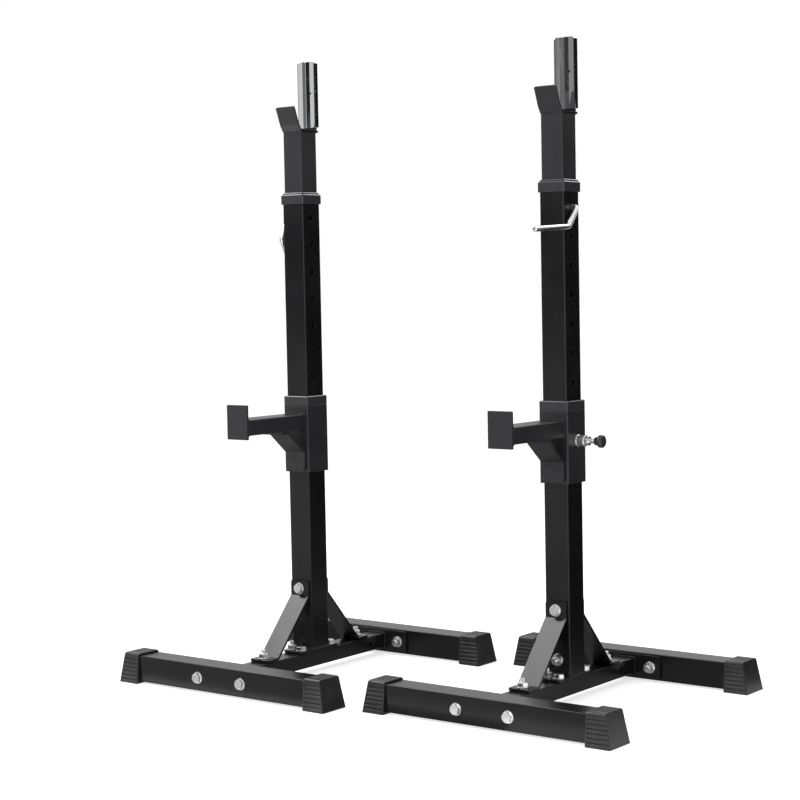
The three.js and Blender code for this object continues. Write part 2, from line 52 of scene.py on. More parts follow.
# Sheet, bar and tube sizes
TUBE_WALL, TUBE_CORNER = 1.5 * MM, 2 * MM
BEAM_WALL, BEAM_CORNER, BEAM_SIZE = 2 * MM, 2.5 * MM, (40 * MM, 30 * MM)
FLANGE_CORNER, FLANGE_THICKNESS = 6 * MM, 5 * MM
SLEEVE_CORNER, SLEEVE_WALL = 2.5 * MM, 3 * MM
LINER_WALL, LINER_CORNER = 1.2 * MM, 2 * MM
FLAT_THICKNESS = 5 * MM
FOOT_PLATE_THICKNESS, FOOT_PLATE_CORNER = 5 * MM, 10 * MM
CRADLE_THICKNESS, BACK_PLATE_WIDTH, GUARD_WALL = 4 * MM, 38 * MM, 2.5 * MM
EDGE, FINE_EDGE, WELD_RISE = 0.6 * MM, 0.25 * MM, 0.6 * MM
ARC_STEPS, BEND_STEPS = 6, 5

# Holes of the adjusting row, and the one in the beam's side
PIN_HOLE_RADIUS, PIN_HOLE_PITCH, PIN_HOLES, POST_HOLES = 6 * MM, 51.7 * MM, 9, 10
CARRIAGE_HEIGHT, SIDE_HOLE_RADIUS, SIDE_HOLE_REACH = 472 * MM, 4.5 * MM, 163 * MM

# The lock pin's rod; its arm hangs at an angle of its own on each stand
ROD_RADIUS, ROD_BENDS, ROD_ARM, ROD_HANDLE, ROD_FOLD = 5 * MM, (8 * MM, 14 * MM), 45 * MM, 110 * MM, 47.5
ROD_SWIVEL = {"left": 247, "right": 230.4}

# Fasteners
BOLT_RADIUS, HEAD_RADIUS, HEAD_HEIGHT = 5 * MM, 9.8 * MM, 6.5 * MM
WASHER_RADIUS, WASHER_THICKNESS = 11 * MM, 1.6 * MM
NUT_HEIGHT, BOLT_TAIL, STUD_TAIL, THREAD_PITCH = 8 * MM, 3 * MM, 7.5 * MM, 1.5 * MM
FOOT_BOLT_OFFSET, UPRIGHT_NUT_HEIGHT = 12 * MM, 79 * MM


def put(name, data):
    """A new object in the scene."""
    made = bpy.data.objects.new(name, data)
    bpy.context.scene.collection.objects.link(made)
    return made


# ---------------------------------------------------------------- camera
CAMERA_PLACE, LENS = (2.0702, -2.7939, 0.7574), 83.938
CAMERA_YAW, CAMERA_PITCH, CAMERA_ROLL = (math.radians(angle) for angle in (37.407, 3.582, -1.111))


def aim_camera():
    level = Vector((-math.sin(CAMERA_YAW), math.cos(CAMERA_YAW), 0))
    ahead = level * math.cos(CAMERA_PITCH) - Z_AXIS * math.sin(CAMERA_PITCH)
    right = Vector((math.cos(CAMERA_YAW), math.sin(CAMERA_YAW), 0))
    up = right.cross(ahead)
    right, up = (
        right * math.cos(CAMERA_ROLL) + up * math.sin(CAMERA_ROLL),
        up * math.cos(CAMERA_ROLL) - right * math.sin(CAMERA_ROLL),
    )
    data = bpy.data.cameras.new("photo_view")
    data.sensor_width = 36
    data.lens = LENS
    data.clip_end = 60
    camera = put("photo_view", data)
    turn = Matrix((right, up, -ahead)).transposed()
    camera.matrix_world = Matrix.Translation(CAMERA_PLACE) @ turn.to_4x4()
    bpy.context.scene.camera = camera


aim_camera()


# ---------------------------------------------------------------- nodes and shader maths
def grow(tree, kind, settings, sockets, output=0):
    """Adds a node to a tree and gives one of its outputs; sockets are values or other nodes' outputs."""
    node = tree.nodes.new(kind)
    for name, value in settings.items():
        setattr(node, name, value)
    for name, value in sockets.items():
        if isinstance(value, bpy.types.NodeSocket):
            tree.links.new(value, node.inputs[name])
        else:
            node.inputs[name].default_value = value
    return node.outputs[output]


class Wire:
    """A shader socket that can be used in sums."""

    def __init__(self, finish, socket):
        self.finish = finish
        self.socket = socket

    def sum(self, operation, first, second):
        return self.finish.node("Math", {"operation": operation}, {0: first, 1: second})

    def __add__(self, other):
        return self.sum("ADD", self, other)

    def __sub__(self, other):
        return self.sum("SUBTRACT", self, other)

    def __mul__(self, other):
        return self.sum("MULTIPLY", self, other)

    def __rsub__(self, other):
        return self.sum("SUBTRACT", other, self)

    __radd__ = __add__
    __rmul__ = __mul__


class Finish:
    """A node material, built from Python expressions."""

    def __init__(self, name):
        self.material = bpy.data.materials.new(name)
        self.material.use_nodes = True
        self.tree = self.material.node_tree
        self.tree.nodes.clear()
        self.place = self.node("TexCoord", {}, {}, "Object")

    def node(self, kind, settings, sockets, output=0):
        """Any node: its settings are set first, then its sockets, from values or wires."""
        plain = {key: value.socket if isinstance(value, Wire) else value for key, value in sockets.items()}
        return Wire(self, grow(self.tree, "ShaderNode" + kind, settings, plain, output))

    def noise(self, scale, detail, roughness=0.5, stretch=(1, 1, 1)):
        place = self.node("Mapping", {}, {"Vector": self.place, "Scale": stretch})
        sockets = {"Vector": place, "Scale": scale, "Detail": detail, "Roughness": roughness}
        return self.node("TexNoise", {}, sockets)

    def band(self, value, low, high):
        """Rises from 0 to 1 as the value goes from low to high."""
        return self.node("MapRange", {}, {"Value": value, "From Min": low, "From Max": high})

    def blend(self, share, first, second):
        """A mix of two colours; each is a wire or its red, green and blue."""
        first, second = (colour if isinstance(colour, Wire) else (*colour, 1) for colour in (first, second))
        return self.node("Mix", {"data_type": "RGBA"}, {0: share, 6: first, 7: second}, 2)

    def bump(self, height, distance, strength):
        return self.node("Bump", {}, {"Strength": strength, "Distance": distance, "Height": height})

    def principled(self, **sockets):
        """A Principled material; each socket goes by its label in small letters, with underscores."""
        labels = {name: name.replace("_", " ").title().replace("Ior", "IOR") for name in sockets}
        named = {labels[name]: value for name, value in sockets.items()}
        return self.dressed(self.node("BsdfPrincipled", {}, named))

    def dressed(self, shader):
        """The material, with this shader as its surface."""
        output = self.tree.nodes.new("ShaderNodeOutputMaterial")
        self.tree.links.new(shader.socket, output.inputs["Surface"])
        return self.material


# ---------------------------------------------------------------- finishes
def make_black_coat():
    """Gloss powder coat: near black, with orange peel and a few darker and lighter clouds."""
    finish = Finish("gloss_black_powder_coat")
    clouds = finish.noise(9, 4)
    peel = finish.noise(620, 2)
    specks = finish.band(finish.noise(2600, 1), 0.66, 0.74)
    share = finish.band(clouds, 0.35, 0.65)
    colour = finish.blend(share, (0.0062, 0.0062, 0.0070), (0.0098, 0.0098, 0.0108))
    colour = finish.blend(specks * 0.35, colour, (0.032, 0.032, 0.035))
    return finish.principled(
        base_color=colour,
        roughness=finish.band(clouds, 0.2, 0.8) * 0.08 + 0.2 + specks * 0.15,
        specular_ior_level=0.36,
        normal=finish.bump(peel, 0.05 * MM, 0.5),
    )


def make_satin_coat():
    """Satin powder coat of posts and carriages: a shade lighter and rougher than the gloss coat."""
    finish = Finish("satin_black_powder_coat")
    clouds = finish.noise(11, 4)
    peel = finish.noise(780, 2)
    share = finish.band(clouds, 0.35, 0.65)
    colour = finish.blend(share, (0.0235, 0.0235, 0.0252), (0.0295, 0.0295, 0.0314))
    return finish.principled(
        base_color=colour,
        roughness=finish.band(clouds, 0.2, 0.8) * 0.07 + 0.3,
        specular_ior_level=0.4,
        normal=finish.bump(peel, 0.04 * MM, 0.5),
    )


def make_zinc():
    """Bright zinc plate: fine turned lines and a faint blue and straw passivation."""
    finish = Finish("bright_zinc_plate")
    clouds = finish.noise(120, 3)
    lines = finish.noise(900, 2, 0.6, (1, 1, 6))
    share = finish.band(clouds, 0.35, 0.65)
    colour = finish.blend(share, (0.79, 0.81, 0.84), (0.85, 0.84, 0.80))
    return finish.principled(
        base_color=colour,
        metallic=1.0,
        roughness=finish.band(lines, 0.2, 0.8) * 0.14 + 0.2,
        normal=finish.bump(lines, 0.03 * MM, 0.4),
    )


def make_chrome():
    """Bright chrome with hairline scuffs."""
    finish = Finish("bright_chrome_plate")
    scuffs = finish.band(finish.noise(420, 2, 0.5, (1, 1, 0.05)), 0.62, 0.7)
    haze = finish.noise(25, 3)
    colour = finish.blend(haze, (0.80, 0.81, 0.83), (0.86, 0.86, 0.87))
    return finish.principled(
        base_color=colour,
        metallic=1.0,
        roughness=scuffs * 0.1 + haze * 0.03 + 0.045,
    )


def make_rubber():
    """Moulded black rubber: matt, with a leathery mould grain and greyer rubbed patches."""
    finish = Finish("moulded_black_rubber")
    grain = finish.noise(1500, 3)
    patches = finish.band(finish.noise(45, 5), 0.4, 0.7)
    colour = finish.blend(patches, (0.020, 0.020, 0.021), (0.036, 0.036, 0.037))
    return finish.principled(
        base_color=colour,
        roughness=grain * 0.15 + 0.27,
        specular_ior_level=0.46,
        normal=finish.bump(grain, 0.08 * MM, 0.6),
    )


def make_plastic():
    """Injection-moulded black plastic: satin, with a fine spark-eroded grain."""
    finish = Finish("satin_black_plastic")
    grain = finish.noise(2300, 2)
    clouds = finish.noise(60, 3)
    colour = finish.blend(clouds, (0.033, 0.033, 0.035), (0.047, 0.047, 0.050))
    return finish.principled(
        base_color=colour,
        roughness=grain * 0.12 + 0.2,
        normal=finish.bump(grain, 0.04 * MM, 0.5),
    )


coat, satin_coat, zinc = make_black_coat(), make_satin_coat(), make_zinc()
chrome, rubber, plastic = make_chrome(), make_rubber(), make_plastic()


# ---------------------------------------------------------------- outlines and skins
def arc(middle_x, middle_y, radius, start, sweep, steps=ARC_STEPS):
    """Points on an arc; angles in degrees."""
    turns = [math.radians(start + sweep * i / steps) for i in range(steps + 1)]
    return [(middle_x + radius * math.cos(turn), middle_y + radius * math.sin(turn)) for turn in turns]


def rounded(width, height, corner):
    """A rectangle with round corners, about the origin."""
    x, y = width / 2 - corner, height / 2 - corner
    return [
        *arc(x, y, corner, 0, 90),
        *arc(-x, y, corner, 90, 90),
        *arc(-x, -y, corner, 180, 90),
        *arc(x, -y, corner, 270, 90),
    ]


def oblong(half_width, low, high):
    """A rectangle with sharp corners; the origin lies on its middle line."""
    return [(-half_width, low), (half_width, low), (half_width, high), (-half_width, high)]


def placed(outline, axis, at, middle):
    """An outline as a ring of points square to an axis; middle is the ring's centre in X, Y and Z."""
    x, y, z = middle
    if axis == "x":
        return [Vector((at, y + a, z + b)) for a, b in outline]
    if axis == "y":
        return [Vector((x + a, at, z + b)) for a, b in outline]
    return [Vector((x + a, y + b, at)) for a, b in outline]


def skin(*chains):
    """A mesh of closed shells. Each chain is (rings, closed): its rings are joined in order, and an open
    chain is capped at both ends."""
    shell = bmesh.new()
    for rings, closed in chains:
        loops = [[shell.verts.new(point) for point in ring] for ring in rings]
        pairs = list(zip(loops, loops[1:] + loops[:1] if closed else loops[1:]))
        for near, far in pairs:
            for i in range(len(near)):
                j = (i + 1) % len(near)
                shell.faces.new((near[i], near[j], far[j], far[i]))
        if not closed:
            shell.faces.new(loops[0])
            shell.faces.new(loops[-1])
    bmesh.ops.recalc_face_normals(shell, faces=shell.faces)
    mesh = bpy.data.meshes.new("shell")
    shell.to_mesh(mesh)
    shell.free()
    return mesh


def bar(axis, outline, near, far, middle):
    return skin(([placed(outline, axis, near, middle), placed(outline, axis, far, middle)], False))


def box_tube(axis, size, corner, wall, near, far, middle):
    outer = rounded(*size, corner)
    inner = rounded(size[0] - 2 * wall, size[1] - 2 * wall, max(corner - wall, wall / 2))
    ends = ((outer, near), (outer, far), (inner, far), (inner, near))
    return skin(([placed(outline, axis, at, middle) for outline, at in ends], True))


def turned(profile, base, direction, sides, closed=False):
    """A solid of revolution. The profile is pairs of radius and reach along the direction; a closed profile
    is the section of a ring, and any other is capped at both ends."""
    turn = Z_AXIS.rotation_difference(direction)
    around = [2 * math.pi * i / sides for i in range(sides)]
    rings = []
    for radius, reach in profile:
        radius = max(radius, 0.02 * MM)
        ring = [Vector((radius * math.cos(a), radius * math.sin(a), reach)) for a in around]
        rings.append([base + turn @ point for point in ring])
    return skin((rings, closed))


def bent(points, radii):
    """A chain of points with an arc of its own radius at each inner corner, as (point, direction) pairs."""
    stations = [(points[0], (points[1] - points[0]).normalized())]
    for before, corner, after, radius in zip(points, points[1:], points[2:], radii):
        come, leave = (before - corner).normalized(), (after - corner).normalized()
        half = come.angle(leave) / 2
        centre = corner + (come + leave).normalized() * (radius / math.sin(half))
        spoke = corner + come * (radius / math.tan(half)) - centre
        axis = leave.cross(come).normalized()
        sweep = math.pi - 2 * half
        for i in range(BEND_STEPS + 1):
            turn = Quaternion(axis, sweep * i / BEND_STEPS)
            stations.append((centre + turn @ spoke, (turn @ -come).normalized()))
    stations.append((points[-1], (points[-1] - points[-2]).normalized()))
    return stations


def round_bar(points, radius, bends):
    """A bent round bar with slightly domed ends."""
    direction = (points[1] - points[0]).normalized()
    across = direction.orthogonal().normalized()
    stations = []
    for point, way in bent(points, bends):
        across = direction.rotation_difference(way) @ across
        direction = way
        stations.append((point, way, across))
    dome = 1.2 * MM
    ends = [(0.72, 0.0), (0.93, 0.3), (1.0, 1.0)]
    first, last = stations[0], stations[-1]
    chain = [(first[0] + first[1] * dome * reach, *first[1:], share) for share, reach in ends]
    chain += [(*station, 1.0) for station in stations[1:-1]]
    chain += [(last[0] - last[1] * dome * reach, *last[1:], share) for share, reach in reversed(ends)]
    spokes = [2 * math.pi * i / 20 for i in range(20)]
    rings = []
    for point, way, across, share in chain:
        one, other = across * radius * share, way.cross(across) * radius * share
        rings.append([point + one * math.cos(a) + other * math.sin(a) for a in spokes])
    return skin((rings, False))


def flat_bar(points, out, width, thickness, bend, corners):
    """A bent flat bar of a width along X. points is the chain of its inner face, in a plane of constant X;
    out is the side its thickness lies on; corners are the rounding radii of its first and its last end."""
    stations = bent(points, [bend] * (len(points) - 2))
    lengths = [0.0]
    for (before, _), (after, _) in zip(stations, stations[1:]):
        lengths.append(lengths[-1] + (after - before).length)
    total = lengths[-1]

    def at(reach):
        for i in range(len(stations) - 1):
            if reach <= lengths[i + 1] or i == len(stations) - 2:
                run = lengths[i + 1] - lengths[i]
                share = (reach - lengths[i]) / run
                point = stations[i][0].lerp(stations[i + 1][0], share)
                way = stations[i][1].lerp(stations[i + 1][1], share).normalized()
                return point, way

    def half_width(reach):
        for distance, corner in ((reach, corners[0]), (total - reach, corners[1])):
            if distance < corner:
                return width / 2 - corner + math.sqrt(max(corner**2 - (corner - distance) ** 2, 0))
        return width / 2

    stops = set(lengths[1:-1])
    for start, corner, sign in ((0, corners[0], 1), (total, corners[1], -1)):
        stops |= {start + sign * corner * (1 - math.cos(math.pi / 2 * i / 8)) for i in range(9)}
    rings = []
    for reach in sorted(stops):
        point, way = at(min(max(reach, 0), total))
        normal = X_AXIS.cross(way)
        if normal.dot(out) < 0:
            normal = -normal
        half, rise = X_AXIS * half_width(reach), normal * thickness
        rings.append([point - half, point + half, point + half + rise, point - half + rise])
    return skin((rings, False))


# ---------------------------------------------------------------- geometry node trees
def node_tree(name, inputs):
    """An empty tree of geometry nodes with named inputs; inputs are pairs of name and socket type."""
    tree = bpy.data.node_groups.new(name, "GeometryNodeTree")
    tree.interface.new_socket("Geometry", in_out="INPUT", socket_type="NodeSocketGeometry")
    tree.interface.new_socket("Geometry", in_out="OUTPUT", socket_type="NodeSocketGeometry")
    for label, kind in inputs:
        tree.interface.new_socket(label, in_out="INPUT", socket_type="NodeSocket" + kind)
    return tree


def close_tree(tree, geometry, material):
    real = grow(tree, "GeometryNodeRealizeInstances", {}, {"Geometry": geometry})
    dressed = grow(tree, "GeometryNodeSetMaterial", {}, {"Geometry": real, "Material": material})
    tree.links.new(dressed, tree.nodes.new("NodeGroupOutput").inputs[0])


def bake(item, *helpers):
    """The plain mesh of an object with its modifiers; the object and its helpers are then removed."""
    graph = bpy.context.evaluated_depsgraph_get()
    made = bpy.data.meshes.new_from_object(item.evaluated_get(graph), depsgraph=graph)
    for used in (item, *helpers):
        bpy.data.objects.remove(used)
    return made


def run_tree(tree, mesh, **sizes):
    """The plain mesh that a tree makes from a mesh and its named sizes."""
    carrier = put("carrier", mesh)
    modifier = carrier.modifiers.new("tree", "NODES")
    modifier.node_group = tree
    for item in tree.interface.items_tree:
        label = item.name.lower().replace(" ", "_")
        if item.in_out == "INPUT" and label in sizes:
            modifier[item.identifier] = sizes[label]
    return bake(carrier)


def make_hole_tree():
    """Drills a row of round holes along X: a cylinder on each point of a line is taken from the shape."""
    row = [("Count", "Int"), ("First", "Vector"), ("Step", "Vector")]
    tree = node_tree("hole_row", [*row, ("Radius", "Float"), ("Depth", "Float")])
    inputs = tree.nodes.new("NodeGroupInput").outputs
    places = {"Count": inputs["Count"], "Start Location": inputs["First"], "Offset": inputs["Step"]}
    line = grow(tree, "GeometryNodeMeshLine", {}, places)
    sizes = {"Vertices": 32, "Radius": inputs["Radius"], "Depth": inputs["Depth"]}
    drill = grow(tree, "GeometryNodeMeshCylinder", {}, sizes)
    along_x = {"Points": line, "Instance": drill, "Rotation": (0, math.pi / 2, 0)}
    drills = grow(tree, "GeometryNodeInstanceOnPoints", {}, along_x)
    real = grow(tree, "GeometryNodeRealizeInstances", {}, {"Geometry": drills})
    taken = {"operation": "DIFFERENCE"}
    rest = grow(tree, "GeometryNodeMeshBoolean", taken, {0: inputs["Geometry"], 1: real})
    close_tree(tree, rest, coat)
    return tree


def make_thread_tree():
    """A screw thread: a four-sided ridge wound on a spiral along Z."""
    tree = node_tree("screw_thread", [("Turns", "Float"), ("Core Radius", "Float"), ("Pitch", "Float")])
    inputs = tree.nodes.new("NodeGroupInput").outputs
    times = {"operation": "MULTIPLY"}
    length = grow(tree, "ShaderNodeMath", times, {0: inputs["Turns"], 1: inputs["Pitch"]})
    winding = {"Resolution": 20, "Rotations": inputs["Turns"], "Height": length}
    winding |= {end: inputs["Core Radius"] for end in ("Start Radius", "End Radius")}
    spiral = grow(tree, "GeometryNodeCurveSpiral", {}, winding)
    depth = grow(tree, "ShaderNodeMath", times, {0: inputs["Pitch"], 1: 0.45})
    ridge = grow(tree, "GeometryNodeCurvePrimitiveCircle", {}, {"Resolution": 4, "Radius": depth})
    swept = {"Curve": spiral, "Profile Curve": ridge, "Fill Caps": True}
    wound = grow(tree, "GeometryNodeCurveToMesh", {}, swept)
    close_tree(tree, wound, zinc)
    return tree


def make_weld_tree():
    """A weld seam: overlapping flattened beads along a line of edges, each a little different."""
    tree = node_tree("weld_seam", [("Bead Radius", "Float"), ("Spacing", "Float")])
    inputs = tree.nodes.new("NodeGroupInput").outputs
    curve = grow(tree, "GeometryNodeMeshToCurve", {}, {"Mesh": inputs["Geometry"]})
    steps = {"Curve": curve, "Length": inputs["Spacing"]}
    places = grow(tree, "GeometryNodeResampleCurve", {"mode": "LENGTH"}, steps)
    round_bead = {"Segments": 8, "Rings": 6, "Radius": inputs["Bead Radius"]}
    bead = grow(tree, "GeometryNodeMeshUVSphere", {}, round_bead)
    tangent = grow(tree, "GeometryNodeInputTangent", {}, {})
    turn = grow(tree, "FunctionNodeAlignRotationToVector", {"axis": "X"}, {"Vector": tangent})
    varied = {"Min": 0.88, "Max": 1.08, "Seed": 7}
    size = grow(tree, "FunctionNodeRandomValue", {"data_type": "FLOAT"}, varied, 1)
    scale = grow(tree, "ShaderNodeCombineXYZ", {}, {"X": 0.8, "Y": size, "Z": size})
    strewn = {"Points": places, "Instance": bead, "Rotation": turn, "Scale": scale}
    beads = grow(tree, "GeometryNodeInstanceOnPoints", {}, strewn)
    close_tree(tree, beads, coat)
    return tree


hole_tree, thread_tree, weld_tree = make_hole_tree(), make_thread_tree(), make_weld_tree()


def drilled(mesh, first, count, radius, depth):
    """A mesh with a row of holes along X, one hole above the other."""
    step = (0, 0, PIN_HOLE_PITCH)
    return run_tree(hole_tree, mesh, count=count, first=first, step=step, radius=radius, depth=depth)


def carve(mesh, tool):
    """A mesh with a tool cut out of it."""
    carved, cutter = put("carved", mesh), put("cutter", tool)
    cut = carved.modifiers.new("cut", "BOOLEAN")
    cut.operation = "DIFFERENCE"
    cut.solver = "EXACT"
    cut.object = cutter
    return bake(carved, cutter)


# ---------------------------------------------------------------- pieces
def piece(name, body, material, meshes, replaced=(), edge=EDGE, smooth=30):
    """One finished piece, from one mesh or several, with soft edges of the given width."""
    gathered = bmesh.new()
    for mesh in meshes if isinstance(meshes, (list, tuple)) else [meshes]:
        gathered.from_mesh(mesh)
    for face in gathered.faces:
        face.smooth = True
        face.material_index = 0
    mesh = bpy.data.meshes.new(name)
    gathered.to_mesh(mesh)
    gathered.free()
    mesh.materials.append(material)
    made = put(name, mesh)
    if edge:
        bevel = made.modifiers.new("soft_edges", "BEVEL")
        bevel.width = edge
        bevel.segments = 2
        bevel.limit_method = "ANGLE"
        bevel.angle_limit = math.radians(smooth)
        flatten = made.modifiers.new("flat_faces", "WEIGHTED_NORMAL")
        flatten.keep_sharp = True
    else:
        mesh.set_sharp_from_angle(angle=math.radians(smooth))
    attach(made, body)
    if replaced:
        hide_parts(*replaced)
    return made


def span(node):
    """Lowest corner, highest corner and middle of a CAD node."""
    low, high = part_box(node)
    return low, high, (low + high) / 2


def hexagon(height, base, direction, spin):
    """A hexagon head or nut with its corners chamfered on the far side."""
    turn = Z_AXIS.rotation_difference(direction)
    rings = []
    for reach, share in ((0, 0.97), (0.04, 1.0), (0.86, 1.0), (1.0, 0.9)):
        ring = []
        for i in range(24):
            a = 2 * math.pi * i / 24
            nearest = (a % (math.pi / 3)) - math.pi / 6
            flat = HEAD_RADIUS * math.cos(math.pi / 6) / math.cos(nearest)
            r = min(flat, HEAD_RADIUS * share)
            corner = Vector((r * math.cos(a + spin), r * math.sin(a + spin), reach * height))
            ring.append(base + turn @ corner)
        rings.append(ring)
    return skin((rings, False))


def disc(radius, thickness, base, direction):
    return turned([(radius, 0), (radius, thickness)], base, direction, 36)


def thread(start, direction, length):
    """A threaded rod end: core and wound ridge."""
    root, depth = BOLT_RADIUS - THREAD_PITCH * 0.5, THREAD_PITCH * 0.45
    core = turned([(root, 0), (root, length)], start, direction, 20)
    empty, turns = bpy.data.meshes.new("empty"), length / THREAD_PITCH - 0.9
    ridge = run_tree(thread_tree, empty, turns=turns, core_radius=BOLT_RADIUS - depth, pitch=THREAD_PITCH)
    turn = Z_AXIS.rotation_difference(direction).to_matrix().to_4x4()
    ridge.transform(Matrix.Translation(start + direction * depth) @ turn)
    return [core, ridge]


def bolt(head_point, direction, grip, spin):
    """A hexagon bolt with its washers and nut; the head's washer stands on head_point."""
    foot = head_point - direction * grip
    shank = [
        (BOLT_RADIUS, -(grip + WASHER_THICKNESS + NUT_HEIGHT / 2)),
        (BOLT_RADIUS, WASHER_THICKNESS + HEAD_HEIGHT / 2),
    ]
    boss = head_point + direction * (WASHER_THICKNESS + HEAD_HEIGHT - 0.5 * MM)
    tail = foot - direction * (FIT + WASHER_THICKNESS + NUT_HEIGHT - 0.5 * MM)
    return [
        turned(shank, head_point, direction, 20),
        disc(WASHER_RADIUS, WASHER_THICKNESS, head_point + direction * FIT, direction),
        hexagon(HEAD_HEIGHT - 0.3 * MM, head_point + direction * WASHER_THICKNESS, direction, spin),
        disc(HEAD_RADIUS * 0.78, 0.5 * MM, boss, direction),
        disc(WASHER_RADIUS, WASHER_THICKNESS, foot - direction * FIT, -direction),
        hexagon(NUT_HEIGHT, foot - direction * WASHER_THICKNESS, -direction, spin + 0.4),
        *thread(tail, -direction, BOLT_TAIL - 0.1 * MM),
    ]


def screw(head_point, direction, length, spin):
    """A hexagon head screw with its washer; its shank ends in a closed tube."""
    return bolt(head_point, direction, length, spin)[:4]


def stud(face_point, direction, spin):
    """The end of a stud that stands out of a face, with its washer and nut."""
    shank = [(BOLT_RADIUS, -(FLAT_THICKNESS + BEAM_WALL)), (BOLT_RADIUS, WASHER_THICKNESS + NUT_HEIGHT)]
    nut = face_point + direction * WASHER_THICKNESS
    return [
        turned(shank, face_point, direction, 20),
        disc(WASHER_RADIUS, WASHER_THICKNESS, face_point + direction * FIT, direction),
        hexagon(NUT_HEIGHT, nut, direction, spin),
        *thread(nut + direction * (NUT_HEIGHT - 0.5 * MM), direction, STUD_TAIL),
    ]


def seam(name, body, points, radius=2.2 * MM, spacing=2.2 * MM):
    """A weld seam along a chain of points."""
    line = bpy.data.meshes.new("line")
    line.from_pydata(points, [(i, i + 1) for i in range(len(points) - 1)], [])
    beads = run_tree(weld_tree, line, bead_radius=radius, spacing=spacing)
    piece(name, body, coat, beads, edge=0, smooth=60)


def seam_round(name, body, outline, axis, at, middle, **bead):
    """A weld seam all round an outline."""
    around = placed(outline, axis, at, middle)
    seam(name, body, around + around[:1], **bead)


# ---------------------------------------------------------------- the base
def dress_base(side):
    body = "frames"
    upright_low, upright_high, middle = span(f"{side}_upright")
    beam_low, beam_high, beam_middle = span(f"{side}_base_beam")
    for end, front in ENDS.items():
        node = f"{side}_{end}_cross_tube"
        low, high, tube_middle = span(node)
        size = high.z - low.z
        tube = box_tube("x", (size, size), TUBE_CORNER, TUBE_WALL, low.x, high.x, tube_middle)
        piece(node + "_steel", body, coat, tube, [node])
        for place in ("outer", "inner"):
            dress_foot(f"{side}_{end}_{place}_foot", body, node)
            fastener = f"{side}_{end}_{place}_cross_bolt"
            at = span(fastener)[2]
            at.y = high.y if front > 0 else low.y
            parts = bolt(at, Y_AXIS * front, size + FLANGE_THICKNESS + FIT, 0.3)
            piece(fastener + "_zinc", body, zinc, parts, [fastener], FINE_EDGE)
        dress_brace(side, end, front, body, middle)

    # Base beam: box section, bolting flange on each end, weld seams between
    width, height = BEAM_SIZE
    flange = rounded(beam_high.x - beam_low.x, beam_high.z - beam_low.z, FLANGE_CORNER)
    front_y, rear_y = beam_low.y + FLANGE_THICKNESS, beam_high.y - FLANGE_THICKNESS
    tube = box_tube("y", BEAM_SIZE, BEAM_CORNER, BEAM_WALL, front_y - MM, rear_y + MM, beam_middle)
    side_hole = Vector((beam_middle.x + width / 2, middle.y + SIDE_HOLE_REACH, beam_middle.z))
    parts = [
        drilled(tube, side_hole, 1, SIDE_HOLE_RADIUS, 10 * MM),
        bar("y", flange, beam_low.y, front_y, beam_middle),
        bar("y", flange, rear_y, beam_high.y, beam_middle),
    ]
    piece(f"{side}_base_beam_steel", body, coat, parts, [f"{side}_base_beam"])
    around = rounded(width + MM, height + MM, BEAM_CORNER)
    for end, at in (("front", front_y + WELD_RISE), ("rear", rear_y - WELD_RISE)):
        seam_round(f"{side}_{end}_beam_weld", body, around, "y", at, beam_middle)

    # Upright: drilled square tube welded on its foot plate
    size = upright_high.x - upright_low.x
    bottom = upright_low.z + FOOT_PLATE_THICKNESS
    tube = box_tube("z", (size, size), TUBE_CORNER, TUBE_WALL, bottom, upright_high.z, middle)
    lowest = Vector((middle.x, middle.y, CARRIAGE_HEIGHT))
    tube = drilled(tube, lowest, PIN_HOLES, PIN_HOLE_RADIUS, 2 * size)
    piece(f"{side}_upright_steel", body, coat, tube, [f"{side}_upright"])
    plate = rounded(size, upright_high.y - upright_low.y, FOOT_PLATE_CORNER)
    piece(f"{side}_foot_plate", body, coat, bar("z", plate, upright_low.z, bottom, middle))
    around = rounded(size + MM, size + MM, TUBE_CORNER)
    seam_round(f"{side}_upright_weld", body, around, "z", bottom + WELD_RISE, middle)

    # Foot bolts: two stand side by side at each end of the foot plate
    across = X_AXIS * FOOT_BOLT_OFFSET
    for end in ENDS:
        node = f"{side}_{end}_foot_bolt"
        at = span(node)[2]
        at.z = bottom
        pair = [
            *stud(at - across, Z_AXIS, 0.2),
            *screw(at + across, Z_AXIS, FOOT_PLATE_THICKNESS + BEAM_WALL, 0.2),
        ]
        piece(node + "_zinc", body, zinc, pair, [node], FINE_EDGE)

    if side == "right":
        nut_at = Vector((middle.x, middle.y - size / 2, UPRIGHT_NUT_HEIGHT))
        piece("right_upright_nut", body, zinc, stud(nut_at, -Y_AXIS, 0.4), edge=FINE_EDGE)

    node = f"{side}_brace_through_bolt"
    face = size / 2 + FIT + FLAT_THICKNESS
    head = Vector((middle.x, middle.y - face, span(node)[2].z))
    piece(node + "_zinc", body, zinc, bolt(head, -Y_AXIS, 2 * face, 0.5), [node], FINE_EDGE)


